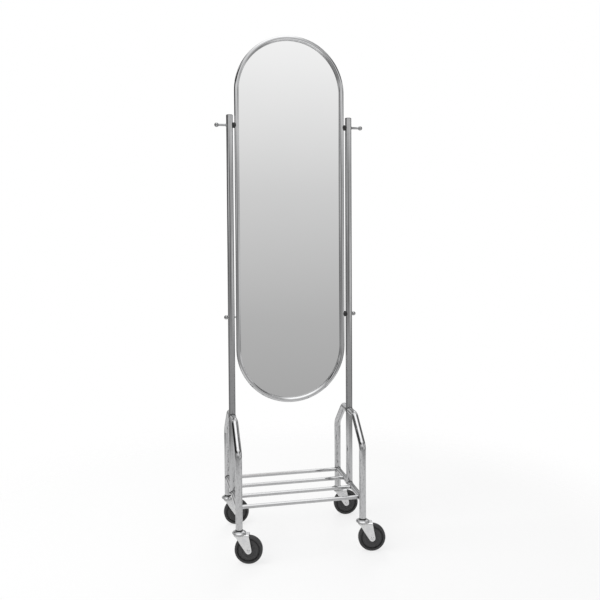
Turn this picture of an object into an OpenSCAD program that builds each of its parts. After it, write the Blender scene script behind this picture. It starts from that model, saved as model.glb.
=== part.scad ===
// Rolling floor mirror: a pill-shaped mirror held between two tube posts. Each post is
// welded onto a bent side arch, a rail and four rods make a low shelf between the arches,
// and each arch stands on two swivel casters.
// +X is the right of somebody facing the glass from the front, -Y is the front and +Z is up.
// The origin is on the floor, midway between the four legs.

/* [Stand] */
// Distance between the axes of the two posts
post_spacing = 410; // [400:1:440]
// Height of the top of the post tubes above the floor
post_top = 1443; // [1435:1:1500]
// Outer diameter of the posts and arches
tube_d = 22.5; // [21:0.5:24]
// Wall thickness of the posts and arches
tube_wall = 1.5; // [1:0.1:2]
// Front to back distance between the leg axes
leg_spacing = 314; // [300:2:340]
// Height of the lower end of each leg
leg_bottom = 109; // [108:1:112]
// Angle of the arch's slanting parts below level
arch_slope = 42; // [38:1:45]
// Height of the axis of the arch's flat top
arch_top = 431; // [420:1:450]
// Length of the arch's flat top, from corner to corner
arch_flat = 134; // [120:2:160]
// Bend radius at the shoulders, on the tube's axis
shoulder_bend = 35; // [30:1:45]
// Bend radius at the two top corners, on the tube's axis
top_bend = 30; // [26:1:36]

/* [Shelf] */
// Height of the axes of the rails and the shelf rods
rail_z = 172; // [165:1:190]
// Outer diameter of the side rails
rail_d = 19; // [18:0.5:20]
// Diameter of the shelf rods
rod_d = 13; // [10:0.5:14]
// Distance from one shelf rod to the next
rod_pitch = 96; // [90:1:97]
// How far the row of rods sits behind the middle of the stand
rod_shift = 8; // [4:1:9]

/* [Mirror] */
// Overall width of the mirror frame
mirror_w = 378; // [376:1:379]
// Overall height of the mirror frame
mirror_h = 1246; // [1220:1:1280]
// Height of the lowest point of the mirror frame
mirror_bottom = 470; // [460:1:480]
// Outer diameter of the tube of the mirror frame
loop_d = 16; // [15:0.5:17]
// Wall thickness of the mirror frame tube
loop_wall = 1.2; // [1:0.1:1.5]
// Thickness of the glass
glass_t = 4; // [3:0.5:5]
// Thickness of the backing board
board_t = 3; // [2.5:0.5:4]
// Number of screws that hold the backing board
board_screw_count = 12; // [8:2:16]

/* [Fixings] */
// Height of the coat pegs, which are the upper fixings of the mirror
peg_z = 1411; // [1400:1:1420]
// Height of the ball knobs, which are the lower fixings of the mirror
knob_z = 769; // [750:1:790]
// Distance from the post axis to the middle of a coat peg's ball
peg_reach = 43; // [38:1:60]
// Diameter of a coat peg
peg_d = 8; // [7:0.5:10]
// Diameter of the ball at the end of a coat peg
peg_ball_d = 15; // [12:0.5:18]
// Distance from the post axis to the middle of a ball knob
knob_reach = 17; // [16:0.5:20]
// Diameter of a ball knob
knob_d = 14.5; // [13:0.5:16]

/* [Casters] */
// Wheel diameter
wheel_d = 90; // [86:1:92]
// Width of the tyre
tyre_w = 22; // [20:1:23]
// Distance from the swivel axis to the wheel axle
trail = 30; // [28:1:32]
// Number of balls in each swivel race
ball_count = 10; // [8:1:12]
// Direction in which the front left caster trails, from +X
turn_front_left = -13; // [-180:1:180]
// Direction in which the front right caster trails, from +X
turn_front_right = -9; // [-180:1:180]
// Direction in which the rear left caster trails, from +X
turn_rear_left = 0; // [-180:1:180]
// Direction in which the rear right caster trails, from +X
turn_rear_right = -4; // [-180:1:180]

/* [Hidden] */
$fn = 64;
LEFT = -1;
RIGHT = 1;
FRONT = -1;
REAR = 1;

CHROME = [0.80, 0.81, 0.82];
STEEL = [0.70, 0.71, 0.72];
RUBBER = [0.10, 0.10, 0.11];
WHEEL_GREY = [0.22, 0.22, 0.23];
TYRE_GREY = [0.17, 0.17, 0.18];
SILVER = [0.86, 0.88, 0.89];
BOARD = [0.42, 0.30, 0.20];

tube_r = tube_d / 2;
bore_r = tube_r - tube_wall;
post_x = post_spacing / 2;
leg_y = leg_spacing / 2;
rod_y = [for (i = [0:3]) rod_shift + rod_pitch * (1.5 - i)];

// Half of the arch, from the middle of its flat top: straights and the bends between them
arch_run = leg_y - arch_flat / 2;
arch_shoulder = arch_top - arch_run * tan(arch_slope);
top_set_back = top_bend * tan(arch_slope / 2);
shoulder_turn = 90 - arch_slope;
shoulder_set_back = shoulder_bend * tan(shoulder_turn / 2);
arch_straights = [
    arch_flat / 2 - top_set_back,
    arch_run / cos(arch_slope) - top_set_back - shoulder_set_back,
    arch_shoulder - leg_bottom - shoulder_set_back
];
arch_turns = [arch_slope, shoulder_turn];
arch_bends = [top_bend, shoulder_bend];
bend_lap = 0.5;
bend_skin = 0.02;

// Gap that the weld fills where a tube is shaped to another of its own size
weld_gap = 0.02;

// Mirror: the frame tube's axis, and the layers from front to back along Y
loop_r = loop_d / 2;
loop_axis_r = mirror_w / 2 - loop_r;
arc_rise = (mirror_h - mirror_w) / 2;
mirror_z = mirror_bottom + mirror_h / 2;
glass_back = loop_r;
glass_front = glass_back - glass_t;
glass_r = loop_axis_r - loop_r - 1;
gasket_front = glass_front - 1;
gasket_r = glass_r + 4;
board_r = loop_axis_r + 3.5;
board_back = loop_r + board_t;
screw_r = 1.5;
screw_length = 8;
screw_head_r = 3.2;
screw_head_h = 2;

// Fixings along X: a stud runs from each peg or knob through the post and into an insert
stud_r = 3;
stud_hole_r = 3.1;
stud_tip = loop_axis_r - 3;
insert_r = 4.5;
insert_length = 9;
spacer_r = 9.5;
spacer_overlap = 4;
loop_outer_x = loop_axis_r + loop_r;
post_inner_x = post_x - tube_r;

// Post caps
cap_t = 2.5;
cap_depth = 14;

// Casters, from the floor up
wheel_r = wheel_d / 2;
web_t = 2.5;
web_top = leg_bottom - 13;
web_bottom = web_top - web_t;
fork_half_w = 15.5;
fork_gap_half = fork_half_w - web_t;
fork_end_r = 10;
fork_front = -17;
fork_back = 32;
fork_fold_r = 5;
stem_r = 5;
running_gap = 0.05;
stem_length = 42;
stem_head_r = 8;
stem_head_t = 2.2;
stem_head_gap = 0.3;
socket_flange_r = 12;
socket_flange_t = 4;
socket_depth = 38;
race_gap = 0.3;
race_r = 22.5;
race_neck_r = 13;
race_ceiling = leg_bottom - socket_flange_t - 3.2;
ball_gap = 0.15;
ball_r = (race_ceiling - web_top - ball_gap) / 2;
ball_ring_r = 14.5;
axle_r = 4;
axle_head_r = 5.6;
axle_head_h = 2.2;
sleeve_r = 6;
hub_r = 9.5;
hub_half_w = fork_gap_half - 0.35;
disc_r = 33;
disc_half_w = 9;
groove_half_w = 5;
core_r = 36;

// Caster name, side, end and rest direction
CASTERS = [
    ["front_left", LEFT, FRONT, turn_front_left],
    ["front_right", RIGHT, FRONT, turn_front_right],
    ["rear_left", LEFT, REAR, turn_rear_left],
    ["rear_right", RIGHT, REAR, turn_rear_right]
];

// ---- Side frames -----------------------------------------------------------------------

// A tube that starts up +Z and turns towards +X at each bend. Each straight laps over the
// ends of its bends, which are a hair thinner.
module bent_tube(straights, turns, bends, i = 0) {
    lap_in = i > 0 ? bend_lap : 0;
    lap_out = i < len(bends) ? bend_lap : 0;
    translate([0, 0, -lap_in])
        difference() {
            cylinder(r = tube_r, h = straights[i] + lap_in + lap_out);
            translate([0, 0, -1])
                cylinder(r = bore_r, h = straights[i] + lap_in + lap_out + 2);
        }
    if (i < len(bends))
        translate([bends[i], 0, straights[i]]) {
            rotate([90, 0, 180])
                rotate_extrude(angle = turns[i])
                    translate([bends[i], 0])
                        difference() {
                            circle(r = tube_r - bend_skin);
                            circle(r = bore_r + bend_skin);
                        }
            rotate([0, turns[i], 0])
                translate([-bends[i], 0, 0])
                    bent_tube(straights, turns, bends, i + 1);
        }
}

module arch(side) {
    color(CHROME)
        translate([side * post_x, 0, arch_top])
            for (end = [0, 1])
                mirror([0, end, 0])
                    rotate([-90, 0, 0])
                        rotate([0, 0, 90])
                            bent_tube(arch_straights, arch_turns, arch_bends);
}

// The post stands on the arch's flat top, and its lower end is shaped to the arch
module post(side) {
    color(CHROME)
        difference() {
            translate([side * post_x, 0, arch_top])
                cylinder(r = tube_r, h = post_top - arch_top);
            translate([side * post_x, 0, arch_top - 1])
                cylinder(r = bore_r, h = post_top - arch_top + 2);
            flat_top_bar(side);
            stud_holes(side);
        }
}

// The strut carries the post's load on below the arch, down to the rail
module strut(side) {
    color(CHROME)
        difference() {
            translate([side * post_x, 0, rail_z])
                cylinder(r = tube_r, h = arch_top - rail_z);
            translate([side * post_x, 0, rail_z - 1])
                cylinder(r = bore_r, h = arch_top - rail_z + 2);
            flat_top_bar(side);
            rail_bar(side, rail_d / 2);
        }
}

module flat_top_bar(side) {
    translate([side * post_x, arch_flat / 2, arch_top])
        rotate([90, 0, 0])
            cylinder(r = tube_r + weld_gap, h = arch_flat);
}

module rail_bar(side, r) {
    translate([side * post_x, leg_y, rail_z])
        rotate([90, 0, 0])
            cylinder(r = r, h = leg_spacing);
}

module leg_bars(side, r) {
    for (end = [FRONT, REAR])
        translate([side * post_x, end * leg_y, rail_z - 3 * rail_d])
            cylinder(r = r, h = 6 * rail_d);
}

module rail(side) {
    color(CHROME)
        difference() {
            rail_bar(side, rail_d / 2);
            rail_bar(side, rail_d / 2 - tube_wall);
            leg_bars(side, tube_r);
        }
}

module shelf_rod(y) {
    color(CHROME)
        difference() {
            translate([-post_x, y, rail_z])
                rotate([0, 90, 0])
                    cylinder(r = rod_d / 2, h = post_spacing);
            for (side = [LEFT, RIGHT]) {
                rail_bar(side, rail_d / 2);
                leg_bars(side, tube_r);
            }
        }
}

module post_cap(side) {
    color(CHROME)
        translate([side * post_x, 0, post_top]) {
            cylinder(r = tube_r, h = cap_t);
            translate([0, 0, -cap_depth])
                cylinder(r = bore_r, h = cap_depth);
        }
}

// ---- Fixings between the posts and the mirror --------------------------------------------

module x_bar(side, from, to, r) {
    translate([side * from, 0, 0])
        rotate([0, side * 90, 0])
            cylinder(r = r, h = to - from);
}

module stud_holes(side) {
    for (z = [peg_z, knob_z])
        translate([0, 0, z])
            x_bar(side, post_x - tube_d, post_x + tube_d, stud_hole_r);
}

module post_solid(side) {
    translate([side * post_x, 0, -tube_d])
        cylinder(r = tube_r, h = 2 * tube_d);
}

module loop_solid(side) {
    translate([side * loop_axis_r, 0, -loop_d])
        cylinder(r = loop_r, h = 2 * loop_d);
}

// A peg or knob: what shows outside the post, shaped to it, and its stud
module fixing(side, reach, ball_d, neck_d) {
    difference() {
        union() {
            translate([side * (post_x + reach), 0, 0])
                sphere(d = ball_d);
            x_bar(side, post_x, post_x + reach, neck_d / 2);
        }
        post_solid(side);
    }
    x_bar(side, stud_tip, post_x + tube_r + 1, stud_r);
}

module coat_peg(side) {
    color(CHROME)
        translate([0, 0, peg_z])
            fixing(side, peg_reach, peg_ball_d, peg_d);
}

module ball_knob(side) {
    color(CHROME)
        translate([0, 0, knob_z])
            fixing(side, knob_reach, knob_d, knob_d * 0.7);
}

// A rubber saddle that grips both tubes
module spacer(side, z) {
    color(RUBBER)
        translate([0, 0, z])
            difference() {
                x_bar(side, loop_outer_x - spacer_overlap, post_inner_x + spacer_overlap, spacer_r);
                x_bar(side, loop_outer_x - 2 * spacer_r, post_inner_x + 2 * spacer_r, stud_hole_r);
                post_solid(side);
                loop_solid(side);
            }
}

// Threaded bush set into the side of the frame tube, flush with it
module frame_insert(side, z) {
    translate([0, 0, z])
        difference() {
            intersection() {
                x_bar(side, loop_outer_x - insert_length, loop_outer_x + insert_length, insert_r);
                loop_solid(side);
            }
            x_bar(side, loop_outer_x - 2 * insert_length, loop_outer_x + insert_length, stud_r);
        }
}

module frame_inserts() {
    color(STEEL)
        for (side = [LEFT, RIGHT], z = [peg_z, knob_z])
            frame_insert(side, z);
}

// ---- Mirror ------------------------------------------------------------------------------

// A flat pill-shaped plate of end radius r, from y0 to y1
module pill(r, y0, y1) {
    for (end = [-1, 1])
        translate([0, y1, mirror_z + end * arc_rise])
            rotate([90, 0, 0])
                cylinder(r = r, h = y1 - y0, $fn = 128);
    translate([-r, y0, mirror_z - arc_rise])
        cube([2 * r, y1 - y0, 2 * arc_rise]);
}

// The frame's closed loop of round bar
module loop_bar(r) {
    for (side = [LEFT, RIGHT])
        translate([side * loop_axis_r, 0, mirror_z - arc_rise])
            cylinder(r = r, h = 2 * arc_rise);
    for (end = [0, 1])
        translate([0, 0, mirror_z + (1 - 2 * end) * arc_rise])
            rotate([90, end * 180, 0])
                rotate_extrude(angle = 180, $fn = 128)
                    translate([loop_axis_r, 0])
                        circle(r = r, $fn = 32);
}

// Places of the board's screws round the loop: along both straights, and at both ends
function screw_places() =
    let (per_side = board_screw_count / 2 - 1, step = 2 * arc_rise / (per_side - 1))
    concat(
        [for (side = [LEFT, RIGHT], i = [0:per_side - 1])
            [side * loop_axis_r, mirror_z - arc_rise + i * step]],
        [for (end = [-1, 1]) [0, mirror_z + end * (arc_rise + loop_axis_r)]]
    );

module screw_bars(r, y0, y1) {
    for (p = screw_places())
        translate([p[0], y1, p[1]])
            rotate([90, 0, 0])
                cylinder(r = r, h = y1 - y0, $fn = 24);
}

module mirror_frame() {
    color(CHROME)
        difference() {
            loop_bar(loop_r);
            loop_bar(loop_r - loop_wall);
            for (side = [LEFT, RIGHT], z = [peg_z, knob_z])
                translate([0, 0, z])
                    x_bar(side, loop_axis_r, loop_axis_r + 2 * loop_r, insert_r);
            screw_bars(screw_r, 0, 2 * loop_r);
        }
}

module mirror_glass() {
    color(SILVER)
        pill(glass_r, glass_front, glass_back);
}

// Rubber bead that fills the space between the edge of the glass and the frame
module glass_gasket() {
    color(RUBBER)
        difference() {
            pill(gasket_r, gasket_front, glass_back);
            pill(glass_r, gasket_front - 1, glass_back + 1);
            loop_bar(loop_r);
        }
}

// Board behind the glass, screwed to the back of the frame
module backing_board() {
    color(BOARD)
        difference() {
            pill(board_r, loop_r, board_back);
            screw_bars(screw_r, loop_r - 1, board_back + 1);
        }
}

module board_screws() {
    color(STEEL) {
        screw_bars(screw_r, board_back - screw_length, board_back);
        screw_bars(screw_head_r, board_back, board_back + screw_head_h);
    }
}

// ---- Casters -----------------------------------------------------------------------------

// Puts a caster's pieces, drawn round its swivel axis and trailing along +X, at its leg
module at_leg(c, turned = true) {
    translate([c[1] * post_x, c[2] * leg_y, 0])
        rotate([0, 0, turned ? c[3] : 0])
            children();
}

// Puts a piece drawn round the wheel's axis, which is local Z, in the caster
module on_axle(c) {
    at_leg(c)
        translate([trail, 0, wheel_r])
            rotate([90, 0, 0])
                children();
}

module socket(c) {
    color(RUBBER)
        at_leg(c)
            translate([0, 0, leg_bottom])
                difference() {
                    union() {
                        translate([0, 0, -socket_flange_t])
                            cylinder(r = socket_flange_r, h = socket_flange_t);
                        cylinder(r = bore_r, h = socket_depth);
                    }
                    translate([0, 0, -socket_flange_t - 1])
                        cylinder(r = stem_r, h = socket_depth + socket_flange_t + 2);
                }
}

// Dished steel cover over the ball race, with a flat underside that clears the fork
module race(c) {
    race_top = leg_bottom - socket_flange_t;
    race_bottom = web_top + race_gap;
    lip_z = race_bottom + 2.8;
    color(CHROME)
        at_leg(c)
            rotate_extrude()
                polygon([
                    [stem_r, race_top],
                    [race_neck_r, race_top],
                    [race_neck_r + 0.8, race_top - 0.9],
                    [race_neck_r + 3.6, race_top - 1.5],
                    [race_r - 3, race_top - 3.2],
                    [race_r - 0.6, lip_z + 1.2],
                    [race_r, lip_z],
                    [race_r - 0.4, race_bottom + 0.8],
                    [race_r - 2, race_bottom],
                    [race_r - 3, race_bottom],
                    [race_r - 3, lip_z],
                    [race_neck_r + 5, race_ceiling],
                    [stem_r, race_ceiling]
                ]);
}

// The stems are pressed into the sockets, and their lower heads hold the forks
module caster_stems() {
    color(STEEL)
        for (c = CASTERS)
            at_leg(c)
                translate([0, 0, web_bottom - stem_head_gap]) {
                    cylinder(r = stem_r, h = stem_length);
                    translate([0, 0, -stem_head_t])
                        cylinder(r = stem_head_r, h = stem_head_t);
                }
}

module swivel_balls() {
    color(STEEL)
        for (c = CASTERS, i = [0:ball_count - 1])
            at_leg(c)
                rotate([0, 0, i * 360 / ball_count])
                    translate([ball_ring_r, 0, race_ceiling - ball_r])
                        sphere(r = ball_r, $fn = 24);
}

// Side view of the fork: x is the distance behind the swivel axis and y is the height
module fork_side() {
    polygon([
        [fork_front, web_top],
        [fork_front, web_bottom],
        [-12, web_bottom - 3.5],
        [-7, web_bottom - 9],
        [-3, web_bottom - 15],
        [2.5, web_bottom - 25],
        [trail - fork_end_r * cos(30), wheel_r - fork_end_r * sin(30)],
        [trail + fork_end_r * cos(8), wheel_r + fork_end_r * sin(8)],
        [trail + 5, web_bottom - 20],
        [fork_back, web_bottom - 3],
        [fork_back, web_top]
    ]);
    translate([trail, wheel_r])
        circle(r = fork_end_r);
}

// End view of the folded plate, an upside-down U with the given half width, top and fold
module fold(half_w, top, fold_r) {
    for (end = [-1, 1])
        translate([end * (half_w - fold_r), top - fold_r])
            circle(r = fold_r);
    translate([-half_w + fold_r, 0])
        square([2 * (half_w - fold_r), top]);
    translate([-half_w, 0])
        square([2 * half_w, top - fold_r]);
}

module fork_fold() {
    translate([2 * fork_front, 0, 0])
        rotate([90, 0, 90])
            linear_extrude(height = 4 * fork_back)
                difference() {
                    fold(fork_half_w, web_top, fork_fold_r);
                    fold(fork_gap_half, web_bottom, fork_fold_r - web_t);
                }
}

module fork(c) {
    color(STEEL)
        at_leg(c)
            difference() {
                intersection() {
                    translate([0, fork_half_w + 1, 0])
                        rotate([90, 0, 0])
                            linear_extrude(height = 2 * fork_half_w + 2)
                                fork_side();
                    fork_fold();
                }
                translate([0, 0, web_bottom - 1])
                    cylinder(r = stem_r + running_gap, h = web_t + 2);
                translate([trail, fork_half_w + 1, wheel_r])
                    rotate([90, 0, 0])
                        cylinder(r = axle_r, h = 2 * fork_half_w + 2);
            }
}

// Riveted axle with a low domed head at each end
module axle(c) {
    head_sphere_r = (axle_head_r * axle_head_r + axle_head_h * axle_head_h) / (2 * axle_head_h);
    color(STEEL)
        on_axle(c) {
            translate([0, 0, -fork_half_w])
                cylinder(r = axle_r, h = 2 * fork_half_w);
            for (end = [0, 180])
                rotate([end, 0, 0])
                    translate([0, 0, fork_half_w])
                        intersection() {
                            translate([0, 0, axle_head_h - head_sphere_r])
                                sphere(r = head_sphere_r);
                            cylinder(r = axle_head_r, h = axle_head_h);
                        }
        }
}

module sleeve(c) {
    color(STEEL)
        on_axle(c)
            translate([0, 0, -fork_gap_half])
                difference() {
                    cylinder(r = sleeve_r, h = 2 * fork_gap_half);
                    translate([0, 0, -1])
                        cylinder(r = axle_r, h = 2 * fork_gap_half + 2);
                }
}

// Half profile of a turned piece, mirrored about the wheel's middle plane
function both_faces(p) = concat(p, [for (i = [len(p) - 1:-1:0]) [p[i][0], -p[i][1]]]);

module wheel(c) {
    color(WHEEL_GREY)
        on_axle(c)
            rotate_extrude()
                polygon(both_faces([
                    [sleeve_r + running_gap, hub_half_w],
                    [hub_r - 1, hub_half_w],
                    [hub_r, hub_half_w - 1],
                    [hub_r + 1.5, disc_half_w - 1.4],
                    [disc_r * 0.62, disc_half_w - 1.4],
                    [disc_r * 0.66, disc_half_w - 0.4],
                    [disc_r - 1.5, disc_half_w],
                    [disc_r, disc_half_w - 1],
                    [disc_r + 0.8, groove_half_w],
                    [core_r, groove_half_w]
                ]));
}

module tyre(c) {
    tread = tyre_w / 2;
    color(TYRE_GREY)
        on_axle(c)
            rotate_extrude($fn = 96)
                polygon(both_faces([
                    [core_r, groove_half_w],
                    [core_r + 0.6, tread - 2.4],
                    [core_r + 1.6, tread - 1],
                    [wheel_r - 6, tread],
                    [wheel_r - 3.4, tread - 0.7],
                    [wheel_r - 1.4, tread - 2.2],
                    [wheel_r - 0.4, tread - 4.2],
                    [wheel_r, tread - 6.5]
                ]));
}

// ---- The assembly --------------------------------------------------------------------------

post(LEFT);  // left_post
post(RIGHT);  // right_post
strut(LEFT);  // left_strut
strut(RIGHT);  // right_strut
arch(LEFT);  // left_arch
arch(RIGHT);  // right_arch
rail(LEFT);  // left_rail
rail(RIGHT);  // right_rail
shelf_rod(rod_y[0]);  // shelf_rod_rear
shelf_rod(rod_y[1]);  // shelf_rod_mid_rear
shelf_rod(rod_y[2]);  // shelf_rod_mid_front
shelf_rod(rod_y[3]);  // shelf_rod_front
post_cap(LEFT);  // left_post_cap
post_cap(RIGHT);  // right_post_cap
coat_peg(LEFT);  // left_coat_peg
coat_peg(RIGHT);  // right_coat_peg
ball_knob(LEFT);  // left_ball_knob
ball_knob(RIGHT);  // right_ball_knob
spacer(LEFT, peg_z);  // upper_left_spacer
spacer(RIGHT, peg_z);  // upper_right_spacer
spacer(RIGHT, knob_z);  // lower_right_spacer
frame_inserts();
mirror_frame();
glass_gasket();
mirror_glass();
backing_board();
board_screws();
caster_stems();
swivel_balls();
for (c = CASTERS) {
    socket(c);
    race(c);
    fork(c);
    axle(c);
    sleeve(c);
    wheel(c);
    tyre(c);
}
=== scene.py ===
from math import asin, cos, pi, radians, sin, tan

import bpy
import numpy as np
from mathutils import Matrix


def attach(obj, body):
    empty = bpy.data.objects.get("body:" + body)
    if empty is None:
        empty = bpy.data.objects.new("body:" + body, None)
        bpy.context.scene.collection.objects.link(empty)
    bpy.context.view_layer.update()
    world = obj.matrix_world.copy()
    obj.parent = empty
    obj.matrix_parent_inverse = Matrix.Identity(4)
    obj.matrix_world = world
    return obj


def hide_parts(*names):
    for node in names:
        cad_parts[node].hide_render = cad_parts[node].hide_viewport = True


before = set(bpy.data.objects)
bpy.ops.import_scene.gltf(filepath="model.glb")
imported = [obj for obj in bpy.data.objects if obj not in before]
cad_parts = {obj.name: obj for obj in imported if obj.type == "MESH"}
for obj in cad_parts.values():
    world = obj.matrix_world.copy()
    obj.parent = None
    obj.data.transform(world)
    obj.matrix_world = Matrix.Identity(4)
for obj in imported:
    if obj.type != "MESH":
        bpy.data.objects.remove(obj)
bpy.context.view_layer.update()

# Looks of the rolling floor mirror. Sizes are in millimetres, as in the part's source, and
# become metres where a mesh is made. The origin is on the floor, midway between the legs.
# +X is the right of somebody facing the glass, -Y is towards that person, and +Z is up.

LEFT, RIGHT, FRONT, REAR = -1, 1, -1, 1
SIDES = {"left": LEFT, "right": RIGHT}
X, Y, Z = (1, 0, 0), (0, 1, 0), (0, 0, 1)
FORWARD = (0, -1, 0)
METRES = 0.001  # in a millimetre

# Posts, struts and arches, all of one tube.
TUBE_R = 11.25
TUBE_WALL = 1.5
BORE_R = TUBE_R - TUBE_WALL
POST_X = 205.0
POST_TOP = 1443.0
LEG_Y = 157.0
LEG_FOOT = 109.0
ARCH_TOP = 431.0
ARCH_FLAT = 134.0
ARCH_SLOPE = 42.0
TOP_BEND = 30.0
SHOULDER_BEND = 35.0
WELD_GAP = 0.02

# Side rails, and the shelf's rods with their places along Y.
RAIL_Z = 172.0
RAIL_R = 9.5
ROD_R = 6.5
ROD_PITCH = 96.0
ROD_SHIFT = 8.0
RODS = {
    name: ROD_SHIFT + ROD_PITCH * (1.5 - number)
    for number, name in enumerate(("rear", "mid_rear", "mid_front", "front"))
}

# Mirror: a pill of two straight sides and two half rounds, with depths counted backwards
# from the axis of the frame's tube.
MIRROR_W = 378.0
MIRROR_H = 1246.0
MIRROR_Z = 1093.0
LOOP_R = 8.0
LOOP_AXIS = MIRROR_W / 2 - LOOP_R
STRAIGHT = (MIRROR_H - MIRROR_W) / 2
PANE_R = 173.8
PANE_FRONT = 4.0
BOARD_R = 184.5
BOARD_FRONT = LOOP_R
BOARD_BACK = 11.0
SCREW_HEAD_R = 3.2

# Bolts that hold the mirror, and the rubber blocks that they cross. A reach goes from the
# post's axis to the middle of the ball, and a lap from the nearest line of a tube to where
# the block's end lets go of it.
PEG_Z = 1411.0
PEG_REACH = 43.0
PEG_BALL_R = 7.5
KNOB_Z = 769.0
KNOB_REACH = 17.0
KNOB_R = 7.25
BOLT_R = 3.0
BOLT_TIP = LOOP_AXIS - 3
SADDLE_R = 9.5
SADDLE_HOLE = 3.15
SADDLE_LAP = 4.0

# Casters: side, end, and the way each one trails, in degrees from +X. A fork is folded from
# sheet, and FORK_WEB_Z is the middle of its web.
TRAIL = 30.0
AXLE_Z = 45.0
FORK_HALF_W = 15.5
FORK_SHEET = 2.5
FORK_WEB_Z = 94.75
CASTER_SEAT = LEG_FOOT - 4.0
CASTERS = {
    "front_left": (LEFT, FRONT, -13.0),
    "front_right": (RIGHT, FRONT, -9.0),
    "rear_left": (LEFT, REAR, 0.0),
    "rear_right": (RIGHT, REAR, -4.0),
}


# ---- Surfaces ----------------------------------------------------------------------------


class Shell:
    """A closed surface: points in millimetres, sets of faces, and a grain vector at each
    point, which is where the point lies in the stock it was made from."""

    def __init__(self, points, faces, grain=None):
        self.points = np.asarray(points, float).reshape(-1, 3)
        self.faces = faces
        self.grain = self.points if grain is None else np.asarray(grain, float).reshape(-1, 3)

    def placed(self, origin, x=X, y=Y, z=Z):
        """origin + px x + py y + pz z for every point; the grain stays with the stock."""
        return Shell(self.points @ np.array([x, y, z], float) + origin, self.faces, self.grain)

    def outward(self):
        """The volume under the faces, as a sum of tetrahedra from the middle, is positive
        when they face out; a negative one turns every face round."""
        volume, centre = 0.0, self.points.mean(0)
        for faces in self.faces:
            p = self.points[faces] - centre
            for k in range(1, faces.shape[1] - 1):
                volume += np.einsum("ij,ij->", p[:, 0], np.cross(p[:, k], p[:, k + 1]))
        if volume > 0:
            return self
        return Shell(self.points, [faces[:, ::-1] for faces in self.faces], self.grain)


def net(rows, columns, close_rows=False, close_columns=False):
    """Four-sided faces between the neighbours in a grid of rows x columns points. A closed
    direction joins its last line of points to its first."""
    index = np.arange(rows * columns).reshape(rows, columns)
    if close_rows:
        index = np.vstack([index, index[:1]])
    if close_columns:
        index = np.hstack([index, index[:, :1]])
    return np.stack([index[:-1, :-1], index[:-1, 1:], index[1:, 1:], index[1:, :-1]], -1).reshape(-1, 4)


def lids(rows, columns):
    """One flat face over the first row of a net, and one over its last row."""
    row = np.arange(columns)
    return [row[None, ::-1], row[None, :] + (rows - 1) * columns]


def round_turn(steps):
    """Evenly spaced angles of a full turn, without the last one."""
    return np.linspace(0, 2 * pi, steps, endpoint=False)


def swept(r, h, a):
    """Points (r cos a, r sin a, h) for every pair of a profile's (r, h) and an angle a."""
    return np.stack([np.outer(r, np.cos(a)), np.outer(r, np.sin(a)), np.outer(h, np.ones(len(a)))], -1)


def turned(profile, sides=64, ring=False):
    """Profile point (r, h) at angle a goes to (r cos a, r sin a, h). An end on the axis is
    one point with a fan of triangles round it, and a ring's profile closes on itself."""
    r, h = np.asarray(profile, float).T
    a = round_turn(sides)
    off = r > 1e-6
    rows = int(off.sum())
    points = swept(r[off], h[off], a).reshape(-1, 3)
    faces = [net(rows, sides, ring, True)]
    here = np.arange(sides)
    after = np.roll(here, -1)
    first_edge = np.stack([after, here], 1)
    last_edge = np.stack([here, after], 1) + (rows - 1) * sides
    for end, edge in ((0, first_edge), (-1, last_edge)):
        if not off[end]:
            pole = np.full((sides, 1), len(points))
            points = np.vstack([points, [[0, 0, h[end]]]])
            faces.append(np.hstack([pole, edge]))
    return Shell(points, faces)


def lifted(profile, by):
    """The profile moved along its axis."""
    return [(r, h + by) for r, h in profile]


def rounded(profile):
    """Corner cutting, twice: points at 1/4 and 3/4 of every side of a closed profile."""
    corners = np.asarray(profile, float)
    for _ in range(2):
        after = np.roll(corners, -1, axis=0)
        corners = np.stack([corners * 0.75 + after * 0.25, corners * 0.25 + after * 0.75], 1).reshape(-1, 2)
    return corners


def trace(start, heading, moves):
    """A flat path of straight runs and round bends. A move is (length, 0, steps) or
    (bend radius, turn in degrees, steps). Gives points, headings and distances run."""
    at, heading, run = np.array(start, float), radians(heading), 0.0
    points, headings, runs = [], [], []
    for size, turn, steps in moves:
        t = np.linspace(0, 1, steps, endpoint=False)
        if turn == 0:
            way = np.array([cos(heading), sin(heading)])
            points.append(at + size * t[:, None] * way)
            headings.append(np.full(steps, heading))
            runs.append(run + size * t)
            at, run = at + size * way, run + size
            continue
        side = 1 if turn > 0 else -1
        centre = at + size * side * np.array([-sin(heading), cos(heading)])
        h = heading + radians(turn) * t
        points.append(centre + size * side * np.stack([np.sin(h), -np.cos(h)], 1))
        headings.append(h)
        runs.append(run + size * abs(radians(turn)) * t)
        heading += radians(turn)
        run += size * abs(radians(turn))
        at = centre + size * side * np.array([sin(heading), -cos(heading)])
    points, headings, runs = np.vstack(points), np.hstack(headings), np.hstack(runs)
    return np.vstack([points, [at]]), np.append(headings, heading), np.append(runs, run)


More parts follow.
